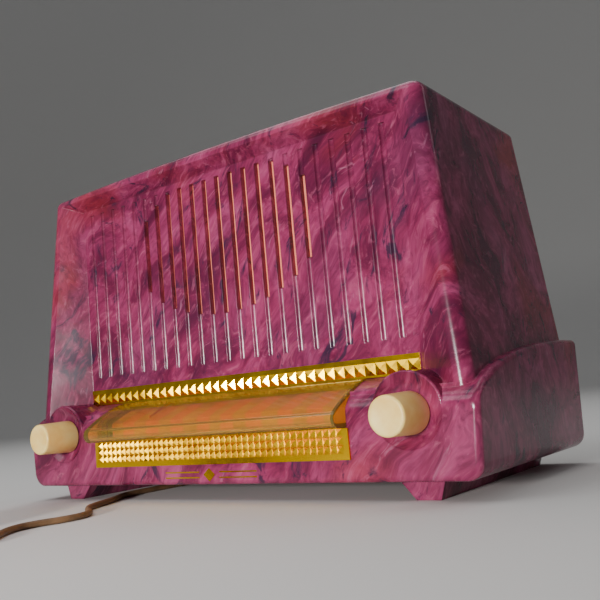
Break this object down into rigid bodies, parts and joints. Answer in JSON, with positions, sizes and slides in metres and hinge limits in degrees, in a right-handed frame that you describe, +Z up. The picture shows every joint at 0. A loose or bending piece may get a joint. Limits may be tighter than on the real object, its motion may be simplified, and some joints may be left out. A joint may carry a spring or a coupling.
{
  "type": "table radio",
  "caption": "Mid-century table radio in a marbled burgundy moulding with a fluted grille, gold trim strips, a lens-covered dial, two ivory knobs and a coiled mains cord.",
  "frame": {"origin": "middle of the footprint of cabinet and knobs, at the level of the two runners", "axes": "+X to the right seen from the front, +Y to the back, +Z up; the knobs face -Y"},
  "size_m": [0.305, 0.3257, 0.1933],
  "materials": {
    "marbled_moulding": "glossy, swirled burgundy, rose and slate",
    "grille_cloth": "woven",
    "gold_trim": "pressed, bright",
    "amber_lens": "clear, tinted amber",
    "dial_face": "satin",
    "ivory_knob": "glossy ivory",
    "steel": "satin",
    "brass": "satin",
    "control_can": "matt",
    "plated_chassis": "dull plated",
    "black_rubber": "matt",
    "capacitor_metal": "satin",
    "drive_string": "waxed string",
    "pointer_red": "gloss red",
    "clear_glass": "clear",
    "dark_paper": "matt",
    "black_metal": "black enamel",
    "cone_paper": "matt pulp",
    "copper_winding": "enamelled copper wire",
    "dark_insulator": "brown phenolic",
    "tube_metal": "blackened nickel",
    "waxed_paper": "waxed",
    "brown_card": "pressed board",
    "brown_cord": "satin, aged tan"
  },
  "bodies": {
    "radio": {"cabinet": "marbled_moulding", "grille_cloth": "grille_cloth", "upper_trim_strip": "gold_trim", "lower_trim_strip": "gold_trim", "dial_lens": "amber_lens", "dial_scale": "dial_face", "front_ornament": "gold_trim", "tuning_bushing": "brass", "volume_control": "control_can", "control_nuts": "steel", "chassis": "plated_chassis", "chassis_grommets": "black_rubber", "chassis_screws": "steel", "tuning_capacitor_frame": "capacitor_metal", "tuning_stator": "capacitor_metal", "dial_cord": "drive_string", "idler_pin": "steel", "pointer_rail": "steel", "dial_lamp": "clear_glass", "lamp_socket": "steel", "speaker_gasket": "dark_paper", "speaker_basket": "black_metal", "speaker_magnet": "plated_chassis", "speaker_studs": "steel", "speaker_nuts": "steel", "output_transformer_core": "black_metal", "output_transformer_winding": "copper_winding", "filter_capacitor": "capacitor_metal", "if_transformer_cans": "capacitor_metal", "tube_sockets": "dark_insulator", "converter_tube": "clear_glass", "if_tube": "clear_glass", "detector_tube": "clear_glass", "output_tube": "clear_glass", "rectifier_tube": "clear_glass", "tube_elements": "tube_metal", "paper_capacitors": "waxed_paper", "resistors": "dark_insulator", "loop_antenna": "copper_winding", "back_cover": "brown_card", "back_cover_screws": "steel", "cord_grommet": "black_rubber", "mains_cord": "brown_cord", "cord_coil": "brown_cord", "plug_body": "dark_insulator", "plug_blades": "brass"},
    "tuning_spindle": {"tuning_shaft": "steel", "tuning_knob": "ivory_knob", "tuning_shaft_clip": "steel"},
    "tuning_gang": {"tuning_rotor": "capacitor_metal", "tuning_drum": "capacitor_metal"},
    "dial_pointer": {"pointer": "pointer_red"},
    "idler": {"idler_pulley": "brass"},
    "volume_spindle": {"volume_shaft": "steel", "volume_knob": "ivory_knob"},
    "cone": {"speaker_cone": "cone_paper", "voice_coil": "copper_winding", "dust_cap": "cone_paper"}
  },
  "joints": [
    {"name": "gang_turn", "type": "hinge", "parent": "radio", "child": "tuning_gang", "pos_m": [0.1, -0.0015, 0.076], "axis": [0, 1, 0], "range_deg": [0, 180]},
    {"name": "tuning_turn", "type": "hinge", "parent": "radio", "child": "tuning_spindle", "pos_m": [0.1187, -0.0465, 0.0384], "axis": [0, 1, 0], "range_deg": [0, 1990]},
    {"name": "pointer_slide", "type": "slide", "parent": "radio", "child": "dial_pointer", "axis": [1, 0, 0], "range_m": [0, 0.10205]},
    {"name": "idler_turn", "type": "hinge", "parent": "radio", "child": "idler", "pos_m": [-0.07, -0.031, 0.0468], "axis": [0, 1, 0], "range_deg": [0, 1075]},
    {"name": "volume_turn", "type": "hinge", "parent": "radio", "child": "volume_spindle", "pos_m": [-0.1187, -0.0465, 0.0384], "axis": [0, 1, 0], "range_deg": [0, 300]},
    {"name": "cone_travel", "type": "slide", "parent": "radio", "child": "cone", "axis": [0, 1, 0], "range_m": [-0.0015, 0.0015], "stiffness_N_per_m": 1000}
  ],
  "couplings": [
    {"joint": "tuning_turn", "follows": "gang_turn", "ratio": 11},
    {"joint": "pointer_slide", "follows": "gang_turn", "m_per_rad": 0.03245},
    {"joint": "idler_turn", "follows": "gang_turn", "ratio": 5.954}
  ]
}
